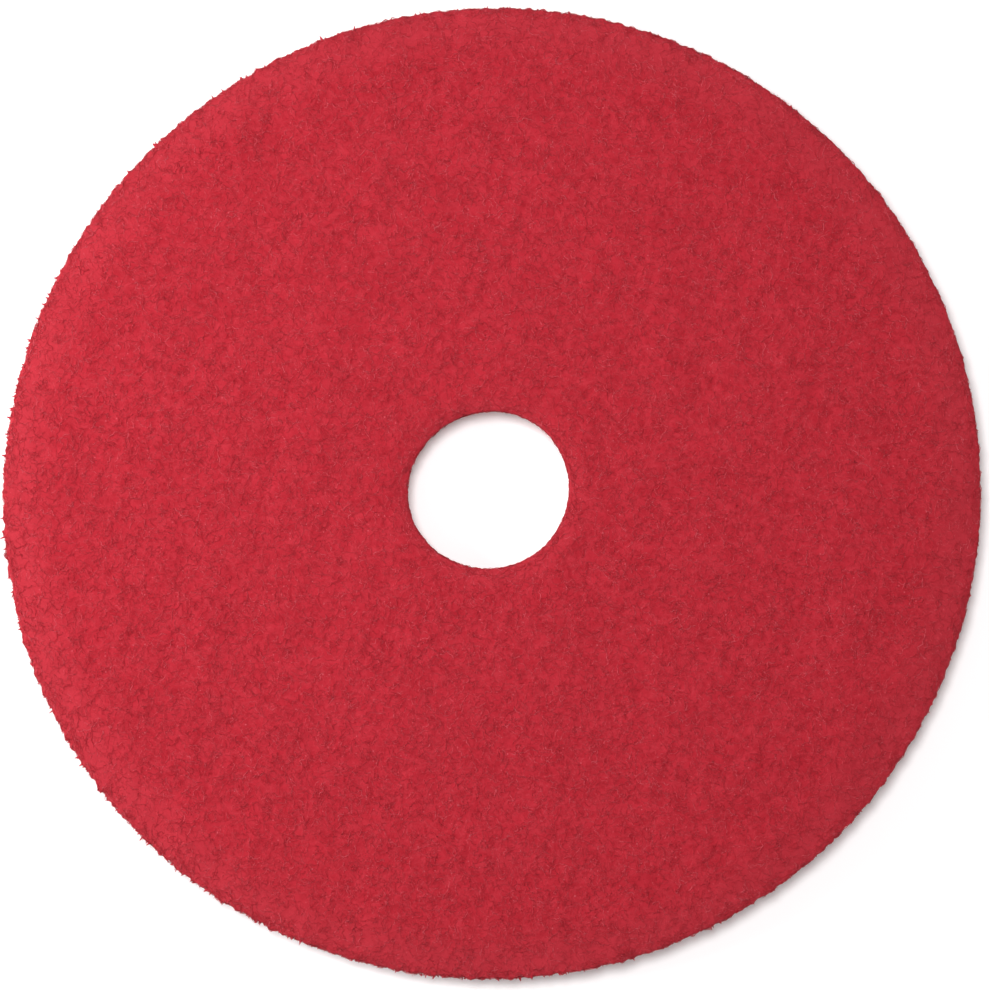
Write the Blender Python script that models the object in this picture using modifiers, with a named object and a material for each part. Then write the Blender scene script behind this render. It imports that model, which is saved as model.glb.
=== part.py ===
"""A round floor pad for a rotary floor machine: one die-cut disc of resin-bonded fibre web.

The pad lies flat on z = 0, and its axis is +Z. Lengths are in metres.
"""

import math

import bmesh
import bpy

INCH = 0.0254

# Driving dimensions: the pad's size class, and the hole that a driver's centre lock goes through.
PAD_DIAMETER = 20 * INCH
PAD_THICKNESS = 1 * INCH
HOLE_DIAMETER = 3.25 * INCH

# The die squeezes the web as it cuts, so each edge is rolled over, wide and shallow.
RIM_ROLL_WIDTH = 0.012
RIM_ROLL_DROP = 0.005
HOLE_ROLL_WIDTH = 0.006
HOLE_ROLL_DROP = 0.003

# Facets: steps round the pad, and steps through each rolled edge.
TURN_STEPS = 150
ROLL_STEPS = 4
MERGE_DISTANCE = 0.00005
SMOOTH_ANGLE = math.radians(40)

# Red dyed fibre, matte.
WEB_COLOUR = (0.491, 0.026, 0.041, 1.0)
WEB_ROUGHNESS = 0.9
WEB_METALLIC = 0.0

OBJECT_NAME = "floor_pad"
WEB_NAME = "pad_web"


def clear_scene():
    """Remove every object that the scene starts with."""
    for item in list(bpy.data.objects):
        bpy.data.objects.remove(item, do_unlink=True)


def make_collection(name):
    """Return a new collection in the scene."""
    collection = bpy.data.collections.new(name)
    bpy.context.scene.collection.children.link(collection)
    return collection


def make_material(name, colour, roughness, metallic):
    """Return a Principled material."""
    material = bpy.data.materials.new(name)
    material.use_nodes = True
    shader = material.node_tree.nodes["Principled BSDF"]
    shader.inputs["Base Color"].default_value = colour
    shader.inputs["Roughness"].default_value = roughness
    shader.inputs["Metallic"].default_value = metallic
    return material


def rolled_edge(wall_radius, face_height, to_flat, to_wall):
    """Points (radius, height) from the flat face to the upright wall, on a quarter of an ellipse.

    to_flat is the signed distance from the wall back to where the flat face starts, and to_wall
    is the signed distance from the face to where the upright wall starts.
    """
    points = []
    for step in range(ROLL_STEPS + 1):
        angle = math.pi / 2 * step / ROLL_STEPS
        radius = wall_radius + to_flat * (1 - math.sin(angle))
        height = face_height + to_wall * (1 - math.cos(angle))
        points.append((radius, height))
    return points


def pad_profile():
    """The closed section: out along the top, down the rim, in along the bottom, up the hole's wall."""
    rim = PAD_DIAMETER / 2
    hole = HOLE_DIAMETER / 2
    top_rim = rolled_edge(rim, PAD_THICKNESS, -RIM_ROLL_WIDTH, -RIM_ROLL_DROP)
    bottom_rim = rolled_edge(rim, 0, -RIM_ROLL_WIDTH, RIM_ROLL_DROP)
    bottom_hole = rolled_edge(hole, 0, HOLE_ROLL_WIDTH, HOLE_ROLL_DROP)
    top_hole = rolled_edge(hole, PAD_THICKNESS, HOLE_ROLL_WIDTH, -HOLE_ROLL_DROP)
    return top_rim + bottom_rim[::-1] + bottom_hole + top_hole[::-1]


def make_profile_mesh(name, points):
    """Return a mesh that is one closed loop of edges in the XZ plane."""
    shape = bmesh.new()
    corners = [shape.verts.new((radius, 0, height)) for radius, height in points]
    for start, end in zip(corners, corners[1:] + corners[:1]):
        shape.edges.new((start, end))
    mesh = bpy.data.meshes.new(name)
    shape.to_mesh(mesh)
    shape.free()
    return mesh


def add_turn(item):
    """Turn the profile once round the Z axis."""
    turn = item.modifiers.new("turn", "SCREW")
    turn.axis = "Z"
    turn.angle = math.tau
    turn.screw_offset = 0
    turn.steps = TURN_STEPS
    turn.render_steps = TURN_STEPS
    turn.use_merge_vertices = True
    turn.merge_threshold = MERGE_DISTANCE
    turn.use_smooth_shade = True


def apply_modifiers(item):
    """Give the object the mesh that its modifiers make."""
    depsgraph = bpy.context.evaluated_depsgraph_get()
    mesh = bpy.data.meshes.new_from_object(item.evaluated_get(depsgraph))
    profile = item.data
    item.modifiers.clear()
    item.data = mesh
    bpy.data.meshes.remove(profile)
    mesh.name = item.name


def make_pad_web(collection):
    """The pad's one piece: the fibre disc with its centre hole."""
    web = bpy.data.objects.new(WEB_NAME, make_profile_mesh(WEB_NAME, pad_profile()))
    collection.objects.link(web)
    add_turn(web)
    apply_modifiers(web)
    web.data.shade_smooth()
    web.data.set_sharp_from_angle(angle=SMOOTH_ANGLE)
    web.data.materials.append(make_material("red_fibre", WEB_COLOUR, WEB_ROUGHNESS, WEB_METALLIC))
    return web


def main():
    clear_scene()
    make_pad_web(make_collection(OBJECT_NAME))


main()
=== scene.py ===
"""The looks of a red non-woven floor pad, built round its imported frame.

The pad lies on z = 0 with its axis on +Z. Lengths are in metres and angles in degrees.
"""

import math

import bpy
import numpy as np
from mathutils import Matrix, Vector


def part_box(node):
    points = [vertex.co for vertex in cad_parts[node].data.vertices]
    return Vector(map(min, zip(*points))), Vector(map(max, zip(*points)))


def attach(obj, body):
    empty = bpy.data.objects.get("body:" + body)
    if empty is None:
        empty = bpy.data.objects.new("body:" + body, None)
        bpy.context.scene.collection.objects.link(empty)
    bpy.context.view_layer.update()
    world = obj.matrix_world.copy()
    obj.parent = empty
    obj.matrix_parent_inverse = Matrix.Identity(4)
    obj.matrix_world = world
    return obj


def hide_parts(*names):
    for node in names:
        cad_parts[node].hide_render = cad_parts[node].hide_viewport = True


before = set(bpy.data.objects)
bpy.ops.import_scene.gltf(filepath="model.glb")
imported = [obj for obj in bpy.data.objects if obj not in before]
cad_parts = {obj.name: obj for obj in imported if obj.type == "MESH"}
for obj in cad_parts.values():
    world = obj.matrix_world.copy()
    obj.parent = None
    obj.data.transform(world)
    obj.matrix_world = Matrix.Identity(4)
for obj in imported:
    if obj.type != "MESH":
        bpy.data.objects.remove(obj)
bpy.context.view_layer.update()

MM = 0.001
NODE = "pad_web"
BODY = "root"

UPWARD = (0.0, 0.0, 1.0)
WHITE = (1, 1, 1, 1)

# ---------------------------------------------------------------------------
# Sizes that come from the frame
# ---------------------------------------------------------------------------
BOX_LOW, BOX_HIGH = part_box(NODE)
RIM_RADIUS = (BOX_HIGH[0] - BOX_LOW[0]) / 2
THICKNESS = BOX_HIGH[2] - BOX_LOW[2]
HOLE_RADIUS = min(math.hypot(v.co.x, v.co.y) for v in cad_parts[NODE].data.vertices)

# ---------------------------------------------------------------------------
# Shape of the die-cut web
# ---------------------------------------------------------------------------
# A soft web stretches as it is cut, so neither outline is quite round.
# Each wave is (lobes round the circle, height of the wave, angle of its first crest).
RIM_WAVES = ((1, 0.55 * MM, -10), (2, 1.4 * MM, 26), (3, 0.35 * MM, -37), (4, 0.17 * MM, 38))
HOLE_WAVES = ((2, 0.9 * MM, 25), (3, 0.26 * MM, -54))
HOLE_SHIFT = (-1.45 * MM, 1.9 * MM)  # the hole was cut this far off the middle
RIM_EASE = -0.9 * MM  # tufts stand about this far out of the rim
HOLE_EASE = 0.5 * MM  # and fibres about this far into the hole

# The die presses the web down as it cuts, so each face slopes down to its edges.
# Each press is (how far in it starts, how far down it goes at the edge).
RIM_PRESS = (26 * MM, 3.0 * MM)
HOLE_PRESS = (11 * MM, 1.6 * MM)
UNDER_PRESS = (8 * MM, 1.0 * MM)
PRESS_CURVE = 1.6  # 1 would be a straight slope, and 2 a parabola
CORNER = 1.0 * MM  # radius of the cut corner itself
UNDER_GAP = 0.2 * MM  # the web stands on the fibres of its underside
HOLE_LEAN = 0.9 * MM  # the soft web springs back after the cut, so the hole widens downwards

# Grid of the body: steps round it, and rings across each stretch of its section.
TURN_STEPS = 720
TOP_RINGS = 90
UNDER_RINGS = 12
RIM_RINGS = 12
HOLE_RINGS = 8
CORNER_RINGS = 2

# Relief: (seed, wavelengths from, to, height), each a sum of seeded plane waves.
# The height is its standard deviation.
WAVE_COUNT = 40
TUFT_RELIEF = (11, 5 * MM, 13 * MM, 0.12 * MM)
SLOW_RELIEF = (12, 30 * MM, 90 * MM, 0.25 * MM)
WALL_RELIEF = (13, 3.5 * MM, 9 * MM, 0.30 * MM)
RIM_GAIN = 2  # the rim has this much of the wall relief
HOLE_GAIN = 0.5  # and the hole this much
TOP_FADE = (0.5, 0.85)  # the top relief fades in between these shares of the thickness
LAYER_SQUEEZE = 3.0  # the web's layers make the walls' relief this much finer upwards
WALL_REACH = 8 * MM  # how far in from each wall its relief is felt
LOW_REACH = 3 * MM  # and how far up from the foot of the wall it fades in
ROUGH_SIDE = 195  # the die was dull on this side, so the rim is ragged there
ROUGH_SPREAD = 1.6  # above 1, more of the rim is fully ragged
SMOOTH_SHARE = 0.38  # raggedness of the smooth side

# ---------------------------------------------------------------------------
# Fibres. A pair is the least and the most.
# ---------------------------------------------------------------------------
FIBRE_POINTS = 7
FIBRE_SIDES = 3
FIBRE_RADIUS = (0.08 * MM, 0.17 * MM)
FIBRE_LENGTH = (4 * MM, 11 * MM)
FIBRE_CRIMP = (3 * MM, 6 * MM)  # length of one wave of the crimp
FIBRE_SWING = (25, 70)  # how far the crimp turns a fibre to each side, in degrees
FIBRE_BEND = 130  # and how far it may turn in all from end to end
FIBRE_LIFT = (0.08 * MM, 0.85 * MM)  # how far the middle of a fibre arches off the skin
LIFT_POWER = 2.5  # most fibres lie low, and a few stand up as loops
LIFT_WOBBLE = (0.6, 1.2)
END_THINNING = 0.5  # how much thinner a fibre is at its very ends
END_SHARPNESS = 6  # the higher this even number, the later it thins

# How far fibres may head from the first axis of their place, in degrees
FACE_SPREAD = 180
WALL_SPREAD = 50
CORNER_SPREAD = 60

# Fibres of each place: (seed, how many). A place with sheets has that many in each of them,
# and the seed counts up from sheet to sheet.
TOP_SHEETS = 9
TOP_FIBRES = (100, 5200)
TOP_MARGIN = 4 * MM  # their middles keep this far from both edges
RIM_SHEETS = 2
RIM_FIBRES = (200, 5200)
HOLE_FIBRES = (300, 1600)
WALL_MARGIN = 0.3 * MM  # they keep this far from both ends of the wall
WALL_SQUASH = 0.6  # the layers press their upward part to this
UNDER_FIBRES = (500, 5200)
UNDER_MARGIN = 2 * MM
UNDER_STACK = 0.1 * MM  # how far apart crossing ones lie
RIM_CORNER_FIBRES = (350, 5200)
HOLE_CORNER_FIBRES = (360, 900)
CORNER_BAND = 6 * MM  # how wide a band over the corner their middles lie in

# Cut fibre ends on the rim: (seed, how many), then their shape
RIM_ENDS = (450, 3600)
END_REACH = (0.2 * MM, 1.5 * MM)
END_LEAN = 0.8 * MM
END_CURL = END_LEAN / 2
LOWEST = 0.4 * MM  # no loose end has its middle line nearer the floor than this
ROOT_DRAWS = 4  # places drawn for each root that is wanted, as some are turned down

# Tufts of torn web on the rim: (seed, how many), then their shape
TUFTS = (400, 2400)
TUFT_POINTS = 5
TUFT_SIDES = 6
TUFT_ROOT = (0.45 * MM, 1.0 * MM)
TUFT_REACH = (0.3 * MM, 2.5 * MM)
TUFT_POWER = 1.9  # most tufts are short, and a few stand well out
TUFT_SINK = 0.4 * MM  # tufts and cut ends start this far inside the wall
TUFT_LEAN = 0.5 * MM
TUFT_TAPER = 0.82  # how much of its width a tuft has lost at its point

# ---------------------------------------------------------------------------
# Colours, linear
# ---------------------------------------------------------------------------
# The pore colour is painted shade: the darkness deep in the gaps between the fibres.
PORE_SHADE_RED = (0.225, 0.0030, 0.0077, 1)
DEEP_RED = (0.305, 0.0075, 0.0156, 1)
WEB_RED = (0.378, 0.0125, 0.0232, 1)
LIGHT_RED = (0.415, 0.0160, 0.0290, 1)
PALE_RED = (0.515, 0.0460, 0.0640, 1)
# The speck colour is a painted glint where fibre ends catch the light, and also the tone of the
# least dyed fibres.
GLINT_AND_BARE_RED = (0.700, 0.1800, 0.2200, 1)

# The felt's pattern. Noise has a size, which is about one blotch across, and a pattern fades in
# over a range of its noise's own value.
CLOUD_SIZE = 12 * MM
MOTTLE_SIZE = 5 * MM
GRAIN_SIZE = 2 * MM
NOISE_MIDDLE = (0.3, 0.7)  # nearly all of a noise's values lie in here
CLOUD_SHARE = 0.4  # of the shade, and mottle has the rest
BLOTCH_ROUGHNESS = 0.6
BLOTCH_CURL = 0.4
SHADE_GAIN = 0.80
SHADE_MEAN = 0.58
# Pores: dark gaps between the fibres. Their darkness is painted shade, and PORE_SINK also sinks them
# in the bump.
PORE_SIZE = 1.8 * MM
PORE_RANGE = (0.55, 0.70)
PORE_SHADE_STRENGTH = 0.40
STRAND_TURNS = (12, 71, 128)  # headings of the crossing strands, in degrees
STRAND_SIZE = 1.3 * MM
STRAND_STRETCH = 5
STRAND_CURL = 0.7
STRAND_WIDTH = 0.07  # in the noise's own value
BREAK_SIZE = 2 * STRAND_SIZE
STRAND_BREAKS = (0.44, 0.60)
STRAND_LIGHT = 0.30
# Specks: painted glints, where fibre ends catch the light.
GLINT_SPECK_SIZE = 2.9 * MM
GLINT_SPECK_WIDTH = 0.15  # as a share of a cell
GLINT_SPECK_RANGE = (0.5, 0.9)
GLINT_SPECK_LIGHT = 0.45
EDGE_QUIET = 0.45  # how much of the pattern is smoothed away near the edges, under the painted highlight
PORE_SINK = 0.8  # depth of a pore, where a strand is 1 high
BUMP_STRENGTH = 0.20
BUMP_HEIGHT = 0.25 * MM

# Dye in the single fibres: how much is each fibre's own, and how much its patch's
OWN_DYE = 0.7
PATCH_DYE = 0.44
PATCH_SIZE = 6 * MM
DYE_RANGE = (0.2, 0.8)
BARE_RANGE = (0.8, 1.0)  # the least dyed fibres
BARE_LIGHT = 0.34

# Painted light along each fibre: it is paler in dashes, painted glints, and duller between them,
# painted shade where it dips under others.
GLINT_DASH_SIZE = 1.4 * MM
GLINT_DASH_RANGE = (0.42, 0.60)
GLINT_DASH_DULL = 0.25  # how much of a fibre's own colour shows between its dashes

# Paleness towards the edges is a painted highlight, for the sheen and the white floor's bounce light
# on the pressed-down edges: how wide, and how much at the edge.
RIM_HIGHLIGHT_WIDTH = 32 * MM
RIM_HIGHLIGHT_FULL = RIM_HIGHLIGHT_WIDTH / 5  # as pale as it gets, this near the rim
RIM_PAINTED_HIGHLIGHT = 0.24
HOLE_HIGHLIGHT_WIDTH = 11 * MM
HOLE_PAINTED_HIGHLIGHT = 0.20

# The dry, slightly downy look of the fibres
CLOTH_ROUGHNESS = 0.9
CLOTH_SPECULAR = 0.15
SHEEN_WEIGHT = 0.06
SHEEN_ROUGHNESS = 0.5
SHEEN_TINT = (1.0, 0.55, 0.55, 1)

# ---------------------------------------------------------------------------
# Camera and light
# ---------------------------------------------------------------------------
LENS = 100  # in millimetres, as Blender takes it
SENSOR = 36
CLIP = (0.01, 100)
VIEW_LEVEL = THICKNESS - 2 * RIM_PRESS[1]  # a little below the rim's upper corner
VIEW_WIDTH = 0.516  # how much the camera sees across, at that level
VIEW_SHIFT = (1.8 * MM, -0.6 * MM)

# Softboxes: (name, place, diameter, watts)
SOFTBOXES = (
    ("key", (-0.10, 0.187, 1.3), 0.39, 13.3),
    ("fill", (-1.0, 0.09, 0.50), 0.60, 10.3),
)

# The studio round the pad: strength at the horizon and overhead, and how high up it changes,
# as the sine of the elevation
SKY_WALL = 0.95
SKY_TOP = 0.28
SKY_WALL_RISE = 0.45

# A square floor that glows as painted light, less so round the pad, so the floor far off stays white
# while shadows by the pad stay deep.
FLOOR_SIZE = 40
FLOOR_COLOUR = (0.92, 0.92, 0.92, 1)
FLOOR_GLOW = (0.16, 0.66)  # strength by the pad, and far off
FLOOR_GLOW_REACH = (0.36, 1.6)  # distances from the middle between which it grows


# ---------------------------------------------------------------------------
# Outline and relief
# ---------------------------------------------------------------------------
def outline(radius, waves, turn):
    """Radius of a nearly round outline at each angle in turn."""
    result = np.full_like(turn, radius)
    for lobes, height, crest in waves:
        result += height * np.cos(lobes * (turn - math.radians(crest)))
    return result


def placed(radius, turn, height):
    """Turn true-circle coordinates into points on the stretched pad."""
    share = (radius - HOLE_RADIUS) / (RIM_RADIUS - HOLE_RADIUS)
    rim = outline(RIM_RADIUS + RIM_EASE, RIM_WAVES, turn)
    hole = outline(HOLE_RADIUS + HOLE_EASE, HOLE_WAVES, turn)
    real = hole + (rim - hole) * share
    x = real * np.cos(turn) + HOLE_SHIFT[0] * (1 - share)
    y = real * np.sin(turn) + HOLE_SHIFT[1] * (1 - share)
    return np.stack([x, y, height], axis=-1)


class Relief:
    """A smooth random height over space: a sum of plane waves with seeded directions."""

    def __init__(self, seed, shortest, longest, height):
        rng = np.random.default_rng(seed)
        direction = rng.normal(size=(WAVE_COUNT, 3))
        direction /= np.linalg.norm(direction, axis=1, keepdims=True)
        length = rng.uniform(shortest, longest, size=(WAVE_COUNT, 1))
        self.waves = math.tau * direction / length
        self.phase = rng.uniform(0, math.tau, size=WAVE_COUNT)
        self.height = height * math.sqrt(2 / WAVE_COUNT)

    def at(self, points):
        flat = points.reshape(-1, 3)
        total = np.zeros(len(flat))
        for wave, phase in zip(self.waves, self.phase):
            total += np.sin(flat @ wave + phase)
        return self.height * total.reshape(points.shape[:-1])


TUFTED = Relief(*TUFT_RELIEF)
SLOW = Relief(*SLOW_RELIEF)
RAGGED = Relief(*WALL_RELIEF)


def circle_points(radius, turn, height):
    """Points at a radius and an angle from the axis."""
    return np.stack([radius * np.cos(turn), radius * np.sin(turn), height], axis=-1)


def face_relief(radius, turn):
    """How far the top face stands above its flat at each place."""
    points = circle_points(radius, turn, np.zeros_like(radius))
    return TUFTED.at(points) + SLOW.at(points)


def raggedness(turn):
    """1 on the ragged side of the rim, falling to SMOOTH_SHARE on the other."""
    facing = 0.5 + 0.5 * np.cos(turn - math.radians(ROUGH_SIDE))
    return SMOOTH_SHARE + (1 - SMOOTH_SHARE) * np.clip(ROUGH_SPREAD * facing, 0, 1)


def rim_relief(turn, height):
    """How far the rim stands out at each place."""
    points = circle_points(np.full_like(turn, RIM_RADIUS), turn, height * LAYER_SQUEEZE)
    return RAGGED.at(points) * raggedness(turn) * RIM_GAIN


def hole_relief(turn, height):
    """How far the hole's wall stands into the hole at each place."""
    points = circle_points(np.full_like(turn, HOLE_RADIUS), turn, height * LAYER_SQUEEZE)
    return RAGGED.at(points) * HOLE_GAIN


# ---------------------------------------------------------------------------
# Meshes
# ---------------------------------------------------------------------------
def new_piece(name, points, faces, material):
    """A smooth mesh object that rides on the pad's body."""
    mesh = bpy.data.meshes.new(name)
    mesh.from_pydata(points.reshape(-1, 3).tolist(), [], faces)
    mesh.shade_smooth()
    mesh.materials.append(material)
    piece = bpy.data.objects.new(name, mesh)
    bpy.context.scene.collection.objects.link(piece)
    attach(piece, BODY)
    return piece


def pressed(distance, press):
    """How far the die has pressed a face down, at a distance in from its edge."""
    width, depth = press
    return depth * np.clip(1 - distance / width, 0, 1) ** PRESS_CURVE


def top_height(radius):
    """Height of the top face at a radius."""
    drop = pressed(RIM_RADIUS - radius, RIM_PRESS) + pressed(radius - HOLE_RADIUS, HOLE_PRESS)
    return THICKNESS - drop


def under_height(radius):
    """Height of the underside at a radius."""
    rise = pressed(RIM_RADIUS - radius, UNDER_PRESS) + pressed(radius - HOLE_RADIUS, UNDER_PRESS)
    return UNDER_GAP + rise


def hole_wall(height):
    """Radius of the hole's wall at a height: it leans back downwards."""
    return HOLE_RADIUS + HOLE_LEAN * (1 - height / THICKNESS)


def round_corner(radius, height, start):
    """A quarter turn round (radius, height), from the angle start in degrees, going clockwise."""
    angle = np.radians(start - np.linspace(0, 90, CORNER_RINGS + 2))
    return np.stack([radius + CORNER * np.cos(angle), height + CORNER * np.sin(angle)], axis=1)


def body_section():
    """The closed section: out along the top, down the rim, in underneath, up the hole."""
    inner = HOLE_RADIUS + CORNER
    low_inner = HOLE_RADIUS + HOLE_LEAN + CORNER
    outer = RIM_RADIUS - CORNER
    top = np.linspace(inner, outer, TOP_RINGS + 2)[1:-1]
    under = np.linspace(outer, low_inner, UNDER_RINGS + 2)[1:-1]
    rim_top = top_height(outer) - CORNER
    rim_foot = under_height(outer) + CORNER
    hole_top = top_height(inner) - CORNER
    hole_foot = under_height(low_inner) + CORNER
    rim_levels = np.linspace(rim_top, rim_foot, RIM_RINGS + 2)[1:-1]
    hole_levels = np.linspace(hole_foot, hole_top, HOLE_RINGS + 2)[1:-1]
    stretches = (
        np.stack([top, top_height(top)], axis=1),
        round_corner(outer, rim_top, 90),
        np.stack([np.full(RIM_RINGS, RIM_RADIUS), rim_levels], axis=1),
        round_corner(outer, rim_foot, 0),
        np.stack([under, under_height(under)], axis=1),
        round_corner(low_inner, hole_foot, -90),
        np.stack([hole_wall(hole_levels), hole_levels], axis=1),
        round_corner(inner, hole_top, 180),
    )
    return np.concatenate(stretches)


def ease(value, low, high):
    """0 below low, 1 above high, and smooth between."""
    share = np.clip((value - low) / (high - low), 0, 1)
    return share * share * (3 - 2 * share)


def relieved(radius, turn, height):
    """Points of the pad's skin, with its relief: up on the top face, out on both walls."""
    top = ease(height / THICKNESS, *TOP_FADE)
    low = ease(height, UNDER_GAP, UNDER_GAP + LOW_REACH)
    rim = ease(radius, RIM_RADIUS - WALL_REACH, RIM_RADIUS) * low
    hole = ease(HOLE_RADIUS + WALL_REACH - radius, 0, WALL_REACH) * low
    real_radius = radius + rim * rim_relief(turn, height) - hole * hole_relief(turn, height)
    return placed(real_radius, turn, height + top * face_relief(radius, turn))


def make_body(material):
    """The web itself: its section swept round the axis."""
    section = body_section()
    rings = len(section)
    turn = np.arange(TURN_STEPS) * math.tau / TURN_STEPS
    radius, turn = np.meshgrid(section[:, 0], turn)
    height = np.tile(section[:, 1], (TURN_STEPS, 1))
    points = relieved(radius, turn, height)
    step, ring = np.meshgrid(np.arange(TURN_STEPS), np.arange(rings), indexing="ij")
    next_step = (step + 1) % TURN_STEPS
    next_ring = (ring + 1) % rings
    corners = (
        step * rings + ring,
        step * rings + next_ring,
        next_step * rings + next_ring,
        next_step * rings + ring,
    )
    faces = np.stack(corners, axis=-1).reshape(-1, 4).tolist()
    body = new_piece("web_body", points, faces, material)
    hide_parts(NODE)
    return body


# ---------------------------------------------------------------------------
# Fibres
# ---------------------------------------------------------------------------
def tubes(paths, radii, upward, sides=FIBRE_SIDES):
    """Closed tubes along the paths: their points, and their faces.

    upward is the way off the skin, as one direction or as one for each point.
    """
    count, length = radii.shape
    along = np.gradient(paths, axis=1)
    along /= np.linalg.norm(along, axis=2, keepdims=True)
    side = np.cross(along, upward)
    side /= np.linalg.norm(side, axis=2, keepdims=True)
    lift = np.cross(side, along)
    rings = []
    for corner in range(sides):
        angle = math.tau * corner / sides
        rings.append(paths + radii[..., None] * (math.cos(angle) * side + math.sin(angle) * lift))
    points = np.stack(rings, axis=2)
    index = np.arange(points.size // 3).reshape(count, length, sides)
    turned = np.roll(index, -1, axis=2)
    walls = (index[:, :-1], index[:, 1:], turned[:, 1:], turned[:, :-1])
    faces = np.stack(walls, axis=-1).reshape(-1, 4).tolist()
    faces += index[:, 0].tolist()
    faces += index[:, -1, ::-1].tolist()
    return points, faces


def crimped(rng, count, spread):
    """Crimped curves in a plane, about the origin: offsets along its two axes at each point.

    spread is how far, in degrees, a fibre may head from the first axis.
    """
    step = np.linspace(0, 1, FIBRE_POINTS)
    length = rng.uniform(*FIBRE_LENGTH, size=(count, 1))
    crimp = rng.uniform(*FIBRE_CRIMP, size=(count, 1))
    swing = np.radians(rng.uniform(*FIBRE_SWING, size=(count, 1)))
    bend = np.radians(rng.uniform(-FIBRE_BEND, FIBRE_BEND, size=(count, 1)))
    start = np.radians(rng.uniform(-spread, spread, size=(count, 1)))
    phase = rng.uniform(0, math.tau, size=(count, 1))
    heading = start + bend * (step - 0.5) + swing * np.sin(math.tau * step * length / crimp + phase)
    stride = length / (FIBRE_POINTS - 1)
    first = np.cumsum(stride * np.cos(heading), axis=1)
    second = np.cumsum(stride * np.sin(heading), axis=1)
    return first - first.mean(axis=1, keepdims=True), second - second.mean(axis=1, keepdims=True)


def arch(rng, count):
    """How far each point of a fibre stands off the skin: its ends go under it."""
    step = np.linspace(0, 1, FIBRE_POINTS)
    low, high = FIBRE_LIFT
    top = low + (high - low) * rng.uniform(size=(count, 1)) ** LIFT_POWER
    wobble = rng.uniform(*LIFT_WOBBLE, size=(count, FIBRE_POINTS))
    return (top * np.sin(math.pi * step) - FIBRE_LIFT[0]) * wobble


def tapered(rng, count):
    """Radius along each fibre, thinner at its ends."""
    step = np.linspace(-1, 1, FIBRE_POINTS)
    full = rng.uniform(*FIBRE_RADIUS, size=(count, 1))
    return full * (1 - END_THINNING * step**END_SHARPNESS)


def scattered(rng, count, inner, outer):
    """Fibres scattered evenly over a flat ring: the radius and angle of each point."""
    radius = np.sqrt(rng.uniform(inner**2, outer**2, size=(count, 1)))
    turn = rng.uniform(0, math.tau, size=(count, 1))
    first, second = crimped(rng, count, FACE_SPREAD)
    x = radius * np.cos(turn) + first
    y = radius * np.sin(turn) + second
    return np.hypot(x, y), np.arctan2(y, x)


def face_fibres(name, seed, count, material):
    """Fibres lying in the top face."""
    rng = np.random.default_rng(seed)
    radius, turn = scattered(rng, count, HOLE_RADIUS + TOP_MARGIN, RIM_RADIUS - TOP_MARGIN)
    radius = np.clip(radius, HOLE_RADIUS + CORNER, RIM_RADIUS - CORNER)
    paths = relieved(radius, turn, top_height(radius))
    paths[..., 2] += arch(rng, count)
    points, faces = tubes(paths, tapered(rng, count), UPWARD)
    return new_piece(name, points, faces, material)


def under_fibres(name, seed, count, material):
    """Fibres lying in the underside, pressed flat against the floor."""
    rng = np.random.default_rng(seed)
    inner = HOLE_RADIUS + HOLE_LEAN + UNDER_MARGIN
    outer = RIM_RADIUS - UNDER_MARGIN
    radius, turn = scattered(rng, count, inner, outer)
    radius = np.clip(radius, inner, outer)
    thick = tapered(rng, count)
    stack = rng.uniform(0, UNDER_STACK, size=radius.shape)
    paths = placed(radius, turn, under_height(radius) - UNDER_GAP + thick + stack)
    points, faces = tubes(paths, thick, UPWARD)
    return new_piece(name, points, faces, material)


def wall_radius(height, outward):
    """Radius of an upright wall at a height. outward is 1 on the rim and -1 in the hole."""
    if outward > 0:
        return np.full_like(height, RIM_RADIUS)
    return hole_wall(height)


def wall_fibres(name, seed, count, wall, outward, material):
    """Fibres lying in an upright wall. outward is 1 on the rim and -1 in the hole."""
    rng = np.random.default_rng(seed)
    foot = under_height(wall) + WALL_MARGIN
    head = top_height(wall) - WALL_MARGIN
    middle = rng.uniform(foot, head, size=(count, 1))
    turn = rng.uniform(0, math.tau, size=(count, 1))
    first, second = crimped(rng, count, WALL_SPREAD)
    turn = turn + first / wall
    height = np.clip(middle + second * WALL_SQUASH, foot, head)
    out = outward * circle_points(1.0, turn, np.zeros_like(turn))
    paths = relieved(wall_radius(height, outward), turn, height) + out * arch(rng, count)[..., None]
    points, faces = tubes(paths, tapered(rng, count), out)
    return new_piece(name, points, faces, material)


def corner_fibres(name, seed, count, edge, outward, material):
    """Fibres laid over a top corner, from the face to the wall.

    outward is 1 on the rim and -1 in the hole.
    """
    rng = np.random.default_rng(seed)
    turn = rng.uniform(0, math.tau, size=(count, 1))
    middle = rng.uniform(-CORNER_BAND / 2, CORNER_BAND / 2, size=(count, 1))
    first, second = crimped(rng, count, CORNER_SPREAD)
    turn = turn + first / edge
    along = middle + second
    tilt = np.clip(along / CORNER, 0, math.pi / 2)
    face = np.minimum(along, 0)
    drop = np.maximum(along - CORNER * math.pi / 2, 0)
    radius = edge - outward * (CORNER - face - CORNER * np.sin(tilt))
    level = top_height(edge - outward * (CORNER - face)) - CORNER * (1 - np.cos(tilt)) - drop
    flat_out = outward * np.sin(tilt)
    out = np.stack([flat_out * np.cos(turn), flat_out * np.sin(turn), np.cos(tilt)], axis=-1)
    paths = relieved(radius, turn, level) + out * arch(rng, count)[..., None]
    points, faces = tubes(paths, tapered(rng, count), out)
    return new_piece(name, points, faces, material)


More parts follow.
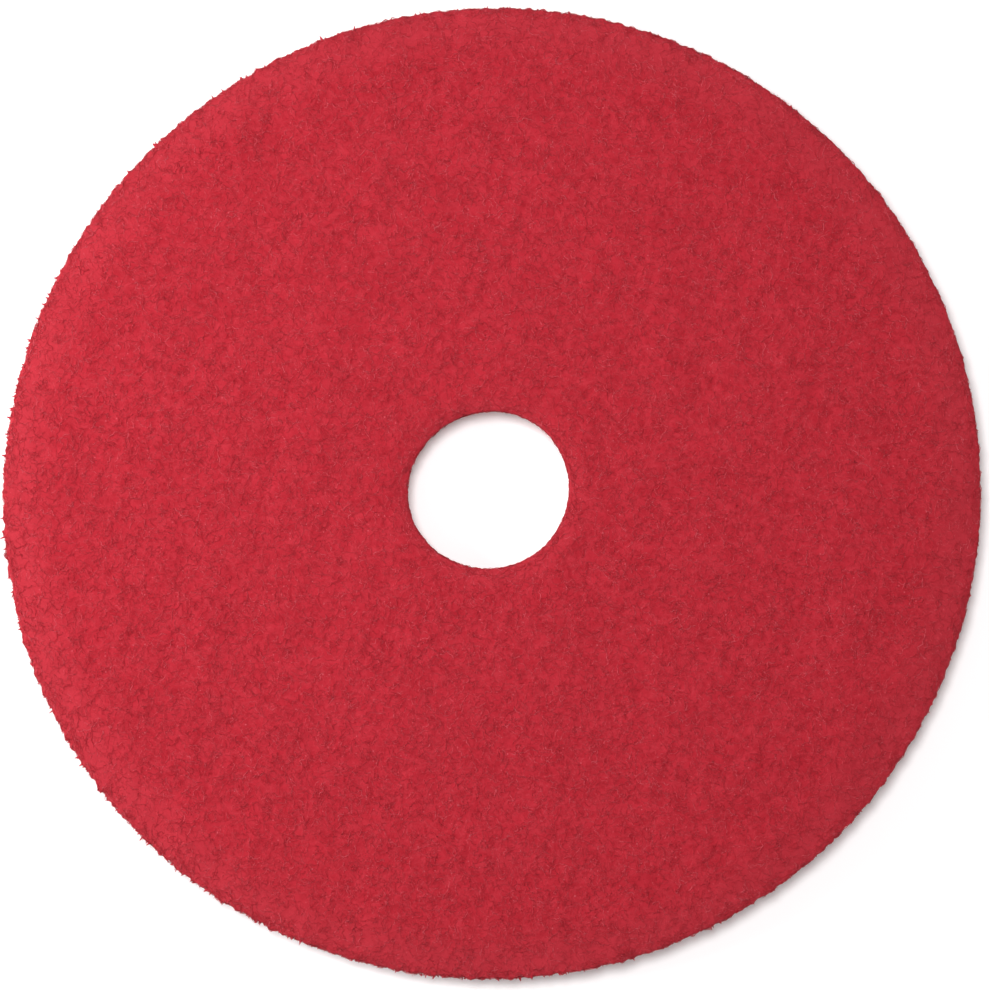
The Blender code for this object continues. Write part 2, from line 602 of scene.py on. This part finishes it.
def rim_roots(rng, count):
    """Places on the rim, more of them on its ragged side: their angles and heights."""
    turn = rng.uniform(0, math.tau, size=ROOT_DRAWS * count)
    kept = rng.uniform(size=turn.size) < raggedness(turn)
    foot = under_height(RIM_RADIUS) + TUFT_ROOT[1]
    head = top_height(RIM_RADIUS) - TUFT_ROOT[0]
    return turn[kept][:count, None], rng.uniform(foot, head, size=(count, 1))


def outward_paths(angle, level, stand):
    """Paths that leave the rim: stand is how far each point is from its skin."""
    level = np.maximum(level, LOWEST)
    paths = relieved(np.full_like(angle, RIM_RADIUS), angle, level)
    out = circle_points(1.0, angle, np.zeros_like(angle))
    return paths + out * stand[..., None]


def rim_tufts(name, seed, count, material):
    """Pointed clumps of web that the die has torn out of the rim."""
    rng = np.random.default_rng(seed)
    turn, height = rim_roots(rng, count)
    least, most = TUFT_REACH
    reach = least + (most - least) * rng.uniform(size=(count, 1)) ** TUFT_POWER
    reach = reach * raggedness(turn)
    root = rng.uniform(*TUFT_ROOT, size=(count, 1))
    lean = rng.normal(0, TUFT_LEAN, size=(count, 1))
    rise = rng.normal(0, TUFT_LEAN, size=(count, 1))
    step = np.linspace(0, 1, TUFT_POINTS)
    angle = turn + lean * step / RIM_RADIUS
    level = height + rise * step
    paths = outward_paths(angle, level, (reach + TUFT_SINK) * step - TUFT_SINK)
    points, faces = tubes(paths, root * (1 - TUFT_TAPER * step), UPWARD, TUFT_SIDES)
    return new_piece(name, points, faces, material)


def rim_ends(name, seed, count, material):
    """Cut fibre ends that stand out of the rim."""
    rng = np.random.default_rng(seed)
    turn, height = rim_roots(rng, count)
    reach = rng.uniform(*END_REACH, size=(count, 1)) * raggedness(turn)
    lean = rng.normal(0, END_LEAN, size=(count, 1))
    rise = rng.normal(0, END_LEAN, size=(count, 1))
    curl = rng.normal(0, END_CURL, size=(count, 1))
    step = np.linspace(0, 1, FIBRE_POINTS)
    angle = turn + (lean * step + curl * step**2) / RIM_RADIUS
    level = height + rise * step - curl * step**2
    paths = outward_paths(angle, level, (reach + TUFT_SINK) * step - TUFT_SINK)
    points, faces = tubes(paths, tapered(rng, count), UPWARD)
    return new_piece(name, points, faces, material)


# ---------------------------------------------------------------------------
# Materials
# ---------------------------------------------------------------------------
class Nodes:
    """A short way to write a material's node tree."""

    def __init__(self, name):
        self.material = bpy.data.materials.new(name)
        self.material.use_nodes = True
        self.tree = self.material.node_tree
        self.shader = self.tree.nodes["Principled BSDF"]

    def add(self, kind, inputs=None, **settings):
        """A new node. inputs are values or other nodes' sockets, and settings its properties."""
        node = self.tree.nodes.new(kind)
        for key, value in settings.items():
            setattr(node, key, value)
        for key, value in (inputs or {}).items():
            self.plug(value, node.inputs[key])
        return node

    def plug(self, value, socket):
        """Link a socket to another socket, or set it to a value."""
        if isinstance(value, bpy.types.NodeSocket):
            self.tree.links.new(value, socket)
        else:
            socket.default_value = value

    def noise(self, place, size, detail=2.0, roughness=0.5, distortion=0.0):
        """Noise whose blotches are about size metres across."""
        inputs = {
            "Vector": place,
            "Scale": 1 / size,
            "Detail": detail,
            "Roughness": roughness,
            "Distortion": distortion,
        }
        return self.add("ShaderNodeTexNoise", inputs).outputs["Fac"]

    def span(self, value, low, high, start=0.0, end=1.0):
        """start at low, end at high, and smooth between."""
        inputs = {0: value, 1: low, 2: high, 3: start, 4: end}
        return self.add(
            "ShaderNodeMapRange", inputs, interpolation_type="SMOOTHSTEP"
        ).outputs[0]

    def maths(self, operation, first, second=0.0):
        return self.add("ShaderNodeMath", {0: first, 1: second}, operation=operation).outputs[0]

    def mix(self, share, first, second):
        """Mix two colours. The node keeps them in inputs 6 and 7, and the result in output 2."""
        node = self.add("ShaderNodeMix", data_type="RGBA")
        self.plug(share, node.inputs[0])
        self.plug(first, node.inputs[6])
        self.plug(second, node.inputs[7])
        return node.outputs[2]

    def painted_glints(self, place, size, width):
        """Small dots, one in each cell about size metres across, of uneven brightness: painted
        glints of fibre ends catching the light.
        """
        cells = self.add("ShaderNodeTexVoronoi", {"Vector": place, "Scale": 1 / size})
        dot = self.span(cells.outputs["Distance"], width / 2, width, 1.0, 0.0)
        parts = self.add("ShaderNodeSeparateXYZ", {0: cells.outputs["Color"]})
        return self.maths("MULTIPLY", dot, self.span(parts.outputs[0], *GLINT_SPECK_RANGE))

    def strands(self, place, heading):
        """Thin broken lines that run one way: where stretched noise crosses its middle value."""
        turned = self.add(
            "ShaderNodeMapping",
            {
                "Vector": place,
                "Rotation": (0, 0, math.radians(heading)),
                "Scale": (STRAND_STRETCH, 1, 1),
            },
            vector_type="TEXTURE",
        ).outputs[0]
        field = self.noise(turned, STRAND_SIZE, detail=1.0, distortion=STRAND_CURL)
        away = self.maths("ABSOLUTE", self.maths("SUBTRACT", field, 0.5))
        line = self.span(away, 0.0, STRAND_WIDTH, 1.0, 0.0)
        breaks = self.span(self.noise(turned, BREAK_SIZE, detail=1.0), *STRAND_BREAKS)
        return self.maths("MULTIPLY", line, breaks)


def layered(nodes):
    """The object's own coordinates, squeezed upwards as the layers of the web are."""
    place = nodes.add("ShaderNodeTexCoord").outputs["Object"]
    squeeze = (1, 1, LAYER_SQUEEZE)
    return nodes.add("ShaderNodeVectorMath", {0: place, 1: squeeze}, operation="MULTIPLY").outputs[0]


def edge_shares(nodes, place):
    """How near a place is to the rim and to the hole: 1 at each edge, 0 on the open face."""
    parts = nodes.add("ShaderNodeSeparateXYZ", {0: place})
    x, y = parts.outputs[0], parts.outputs[1]
    square = nodes.maths("ADD", nodes.maths("MULTIPLY", x, x), nodes.maths("MULTIPLY", y, y))
    radius = nodes.maths("SQRT", square)
    rim = nodes.span(radius, RIM_RADIUS - RIM_HIGHLIGHT_WIDTH, RIM_RADIUS - RIM_HIGHLIGHT_FULL)
    hole = nodes.span(radius, HOLE_RADIUS, HOLE_RADIUS + HOLE_HIGHLIGHT_WIDTH, 1.0, 0.0)
    return rim, hole


def set_cloth(shader):
    """Make a surface dry and slightly downy."""
    shader.inputs["Roughness"].default_value = CLOTH_ROUGHNESS
    shader.inputs["Specular IOR Level"].default_value = CLOTH_SPECULAR
    shader.inputs["Sheen Weight"].default_value = SHEEN_WEIGHT
    shader.inputs["Sheen Roughness"].default_value = SHEEN_ROUGHNESS
    shader.inputs["Sheen Tint"].default_value = SHEEN_TINT


def blotches(nodes, place, size):
    """Soft blotches about size metres across, from 0 to 1."""
    noise = nodes.noise(place, size, roughness=BLOTCH_ROUGHNESS, distortion=BLOTCH_CURL)
    return nodes.span(noise, *NOISE_MIDDLE)


def felt_shade(nodes, place, quiet):
    """How light the felt is at each place, from 0 to about 1: clouds with mottle in them."""
    shade = nodes.maths(
        "ADD",
        nodes.maths("MULTIPLY", blotches(nodes, place, CLOUD_SIZE), CLOUD_SHARE),
        nodes.maths("MULTIPLY", blotches(nodes, place, MOTTLE_SIZE), 1 - CLOUD_SHARE),
    )
    swing = nodes.maths("MULTIPLY", nodes.maths("SUBTRACT", shade, 0.5), quiet)
    return nodes.maths("ADD", nodes.maths("MULTIPLY", swing, SHADE_GAIN), SHADE_MEAN)


def crossed_strands(nodes, place):
    """Strands that cross one another in a few directions."""
    crossed = nodes.strands(place, STRAND_TURNS[0])
    for heading in STRAND_TURNS[1:]:
        crossed = nodes.maths("MAXIMUM", crossed, nodes.strands(place, heading))
    return crossed


def make_web_material():
    """The body: a mottled felt of fibres, with painted shade in its pores and a few painted glints
    where fibre ends catch the light.
    """
    nodes = Nodes("web_felt")
    place = layered(nodes)
    rim, hole = edge_shares(nodes, place)
    edge = nodes.maths("MAXIMUM", rim, hole)
    quiet = nodes.maths("SUBTRACT", 1.0, nodes.maths("MULTIPLY", edge, EDGE_QUIET))
    grain = nodes.noise(place, GRAIN_SIZE, roughness=BLOTCH_ROUGHNESS)
    pores = nodes.span(nodes.noise(place, PORE_SIZE, detail=1.0), *PORE_RANGE)
    strand = crossed_strands(nodes, place)
    painted_glints = nodes.painted_glints(place, GLINT_SPECK_SIZE, GLINT_SPECK_WIDTH)

    colour = nodes.mix(felt_shade(nodes, place, quiet), DEEP_RED, LIGHT_RED)
    # Painted light: the pores are darkened as shade, and the specks lightened as glints.
    layers = (
        (pores, PORE_SHADE_STRENGTH, PORE_SHADE_RED),
        (strand, STRAND_LIGHT, PALE_RED),
        (painted_glints, GLINT_SPECK_LIGHT, GLINT_AND_BARE_RED),
    )
    for pattern, strength, paint in layers:
        share = nodes.maths("MULTIPLY", nodes.maths("MULTIPLY", pattern, quiet), strength)
        colour = nodes.mix(share, colour, paint)
    # Painted highlight: paler towards the rim and the hole, for sheen and the floor's bounce light
    # on the edges.
    for near, strength in ((rim, RIM_PAINTED_HIGHLIGHT), (hole, HOLE_PAINTED_HIGHLIGHT)):
        colour = nodes.mix(nodes.maths("MULTIPLY", near, strength), colour, PALE_RED)
    nodes.plug(colour, nodes.shader.inputs["Base Color"])

    height = nodes.maths("ADD", strand, grain)
    height = nodes.maths("SUBTRACT", height, nodes.maths("MULTIPLY", pores, PORE_SINK))
    bump = nodes.add(
        "ShaderNodeBump",
        {"Strength": BUMP_STRENGTH, "Distance": BUMP_HEIGHT, "Height": height},
    )
    nodes.plug(bump.outputs[0], nodes.shader.inputs["Normal"])
    set_cloth(nodes.shader)
    return nodes.material


def make_fibre_material():
    """Single fibres: each took the dye a little differently, with painted glints in dashes along it.
    """
    nodes = Nodes("dyed_fibre")
    own = nodes.add("ShaderNodeNewGeometry").outputs["Random Per Island"]
    place = nodes.add("ShaderNodeTexCoord").outputs["Object"]
    patch = nodes.noise(place, PATCH_SIZE, detail=1.0)
    shade = nodes.maths(
        "ADD",
        nodes.maths("MULTIPLY", own, OWN_DYE),
        nodes.maths("MULTIPLY", patch, PATCH_DYE),
    )
    # Painted glints: each fibre is paler in dashes along it and duller between them.
    glint_dash = nodes.span(nodes.noise(place, GLINT_DASH_SIZE, detail=1.0), *GLINT_DASH_RANGE, GLINT_DASH_DULL, 1.0)
    pale = nodes.maths("MULTIPLY", nodes.span(shade, *DYE_RANGE), glint_dash)
    bare = nodes.maths("MULTIPLY", nodes.span(own, *BARE_RANGE, 0.0, BARE_LIGHT), glint_dash)
    colour = nodes.mix(bare, nodes.mix(pale, WEB_RED, PALE_RED), GLINT_AND_BARE_RED)
    nodes.plug(colour, nodes.shader.inputs["Base Color"])
    set_cloth(nodes.shader)
    return nodes.material


def make_floor_material():
    """A pale floor whose glow is painted light, growing away from the pad."""
    nodes = Nodes("pale_floor")
    nodes.shader.inputs["Base Color"].default_value = FLOOR_COLOUR
    nodes.shader.inputs["Roughness"].default_value = 1.0
    nodes.shader.inputs["Specular IOR Level"].default_value = 0.0
    nodes.shader.inputs["Emission Color"].default_value = WHITE
    place = nodes.add("ShaderNodeTexCoord").outputs["Object"]
    distance = nodes.add("ShaderNodeVectorMath", {0: place}, operation="LENGTH").outputs["Value"]
    # The glow is painted light: dim by the pad, bright far off.
    glow = nodes.span(distance, *FLOOR_GLOW_REACH, *FLOOR_GLOW)
    nodes.plug(glow, nodes.shader.inputs["Emission Strength"])
    return nodes.material


# ---------------------------------------------------------------------------
# Stage
# ---------------------------------------------------------------------------
def make_floor():
    """The plain floor that the pad lies on."""
    half = FLOOR_SIZE / 2
    mesh = bpy.data.meshes.new("floor")
    corners = [(-half, -half, 0), (half, -half, 0), (half, half, 0), (-half, half, 0)]
    mesh.from_pydata(corners, [], [(0, 1, 2, 3)])
    mesh.materials.append(make_floor_material())
    floor = bpy.data.objects.new("floor", mesh)
    bpy.context.scene.collection.objects.link(floor)


def make_softbox(name, place, size, power):
    """A round soft light that faces the pad."""
    lamp = bpy.data.lights.new(name, "AREA")
    lamp.shape = "DISK"
    lamp.size = size
    lamp.energy = power
    box = bpy.data.objects.new(name, lamp)
    box.location = place
    box.rotation_euler = (-Vector(place)).to_track_quat("-Z", "Y").to_euler()
    box.visible_camera = False
    bpy.context.scene.collection.objects.link(box)


def make_sky():
    """A white-walled studio: bright low down, dimmer overhead."""
    world = bpy.data.worlds.new("studio")
    world.use_nodes = True
    nodes = world.node_tree.nodes
    links = world.node_tree.links
    parts = nodes.new("ShaderNodeSeparateXYZ")
    links.new(nodes.new("ShaderNodeTexCoord").outputs["Generated"], parts.inputs[0])
    fade = nodes.new("ShaderNodeMapRange")
    fade.interpolation_type = "SMOOTHSTEP"
    for index, value in enumerate((0.0, SKY_WALL_RISE, SKY_WALL, SKY_TOP), start=1):
        fade.inputs[index].default_value = value
    links.new(parts.outputs[2], fade.inputs[0])
    background = nodes["Background"]
    background.inputs["Color"].default_value = WHITE
    links.new(fade.outputs[0], background.inputs["Strength"])
    bpy.context.scene.world = world


def make_camera():
    """Straight down, as wide as the pad and a little more."""
    data = bpy.data.cameras.new("camera")
    data.lens = LENS
    data.sensor_width = SENSOR
    data.clip_start, data.clip_end = CLIP
    camera = bpy.data.objects.new("camera", data)
    camera.location = (*VIEW_SHIFT, VIEW_LEVEL + VIEW_WIDTH * LENS / SENSOR)
    bpy.context.scene.collection.objects.link(camera)
    bpy.context.scene.camera = camera


def set_colour_management():
    """Show the colours as they are."""
    view = bpy.context.scene.view_settings
    view.view_transform = "Standard"
    view.look = "None"
    view.exposure = 0
    view.gamma = 1


# ---------------------------------------------------------------------------
# The scene
# ---------------------------------------------------------------------------
def main():
    web = make_web_material()
    fibre = make_fibre_material()
    make_body(web)
    seed, count = TOP_FIBRES
    for sheet in range(TOP_SHEETS):
        face_fibres(f"top_fibres_{sheet + 1}", seed + sheet, count, fibre)
    seed, count = RIM_FIBRES
    for sheet in range(RIM_SHEETS):
        wall_fibres(f"rim_fibres_{sheet + 1}", seed + sheet, count, RIM_RADIUS, 1, fibre)
    wall_fibres("hole_fibres", *HOLE_FIBRES, HOLE_RADIUS, -1, fibre)
    corner_fibres("rim_corner_fibres", *RIM_CORNER_FIBRES, RIM_RADIUS, 1, fibre)
    corner_fibres("hole_corner_fibres", *HOLE_CORNER_FIBRES, HOLE_RADIUS, -1, fibre)
    rim_tufts("rim_tufts", *TUFTS, web)
    rim_ends("rim_ends", *RIM_ENDS, fibre)
    under_fibres("under_fibres", *UNDER_FIBRES, fibre)
    make_floor()
    for box in SOFTBOXES:
        make_softbox(*box)
    make_sky()
    make_camera()
    set_colour_management()


main()
